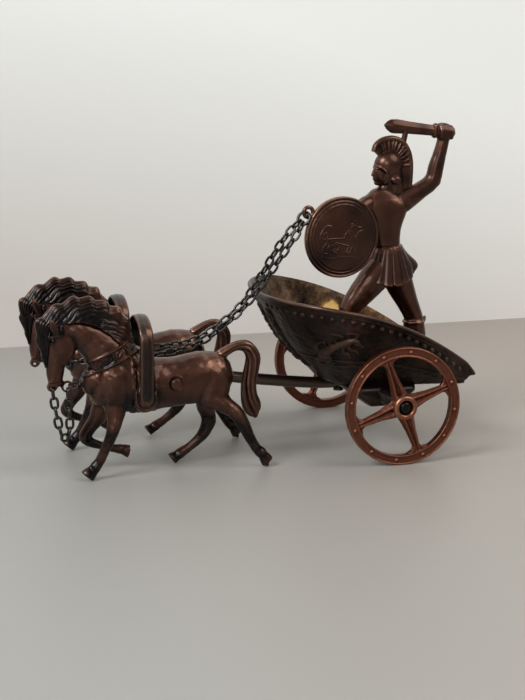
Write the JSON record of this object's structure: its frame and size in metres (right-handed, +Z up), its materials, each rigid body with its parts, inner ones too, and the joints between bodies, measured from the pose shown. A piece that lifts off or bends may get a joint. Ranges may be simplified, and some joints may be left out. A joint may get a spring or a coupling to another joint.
{
  "type": "chariot statuette",
  "caption": "Cast metal figure of a two-horse chariot: open bowl on spoked wheels, a warrior with raised sword and round shield, and chain reins.",
  "frame": {"origin": "middle of the bounding box, on the plane that the wheels and hooves stand on", "axes": "+X from the horses to the rear of the chariot, +Y across to the far side, along the axle, +Z up"},
  "size_m": [0.1258, 0.0702, 0.0892],
  "materials": {
    "copper_bronze": "antiqued copper plating, dark in the hollows and rubbed bright on the edges",
    "wheel_copper": "redder antiqued copper plating",
    "black_bronze": "blackened bronze plating, rubbed golden inside the bowl",
    "dark_steel": "near-black oxidised steel wire and pins"
  },
  "bodies": {
    "stand": {"axle": "dark_steel", "axle_bracket": "black_bronze", "chariot_bowl": "black_bronze", "pole": "black_bronze", "pole_rivet": "black_bronze", "bracket_rivet_near": "black_bronze", "bracket_rivet_far": "black_bronze", "crossbar": "copper_bronze", "horse_near": "copper_bronze", "yoke_hoop_near": "copper_bronze", "horse_far": "copper_bronze", "yoke_hoop_far": "copper_bronze", "warrior": "copper_bronze", "shield": "copper_bronze", "shield_pin": "dark_steel", "rein_ring": "dark_steel", "rein_near": "dark_steel", "rein_far": "dark_steel", "slack_chain": "dark_steel"},
    "wheel_near": {"wheel_near": "wheel_copper"},
    "wheel_far": {"wheel_far": "wheel_copper"}
  },
  "joints": [
    {"name": "wheel_near_spin", "type": "hinge", "parent": "stand", "child": "wheel_near", "pos_m": [0.03365, -0.0322, 0.016], "axis": [0, 1, 0], "continuous": true},
    {"name": "wheel_far_spin", "type": "hinge", "parent": "stand", "child": "wheel_far", "pos_m": [0.03365, 0.0322, 0.016], "axis": [0, 1, 0], "continuous": true}
  ]
}
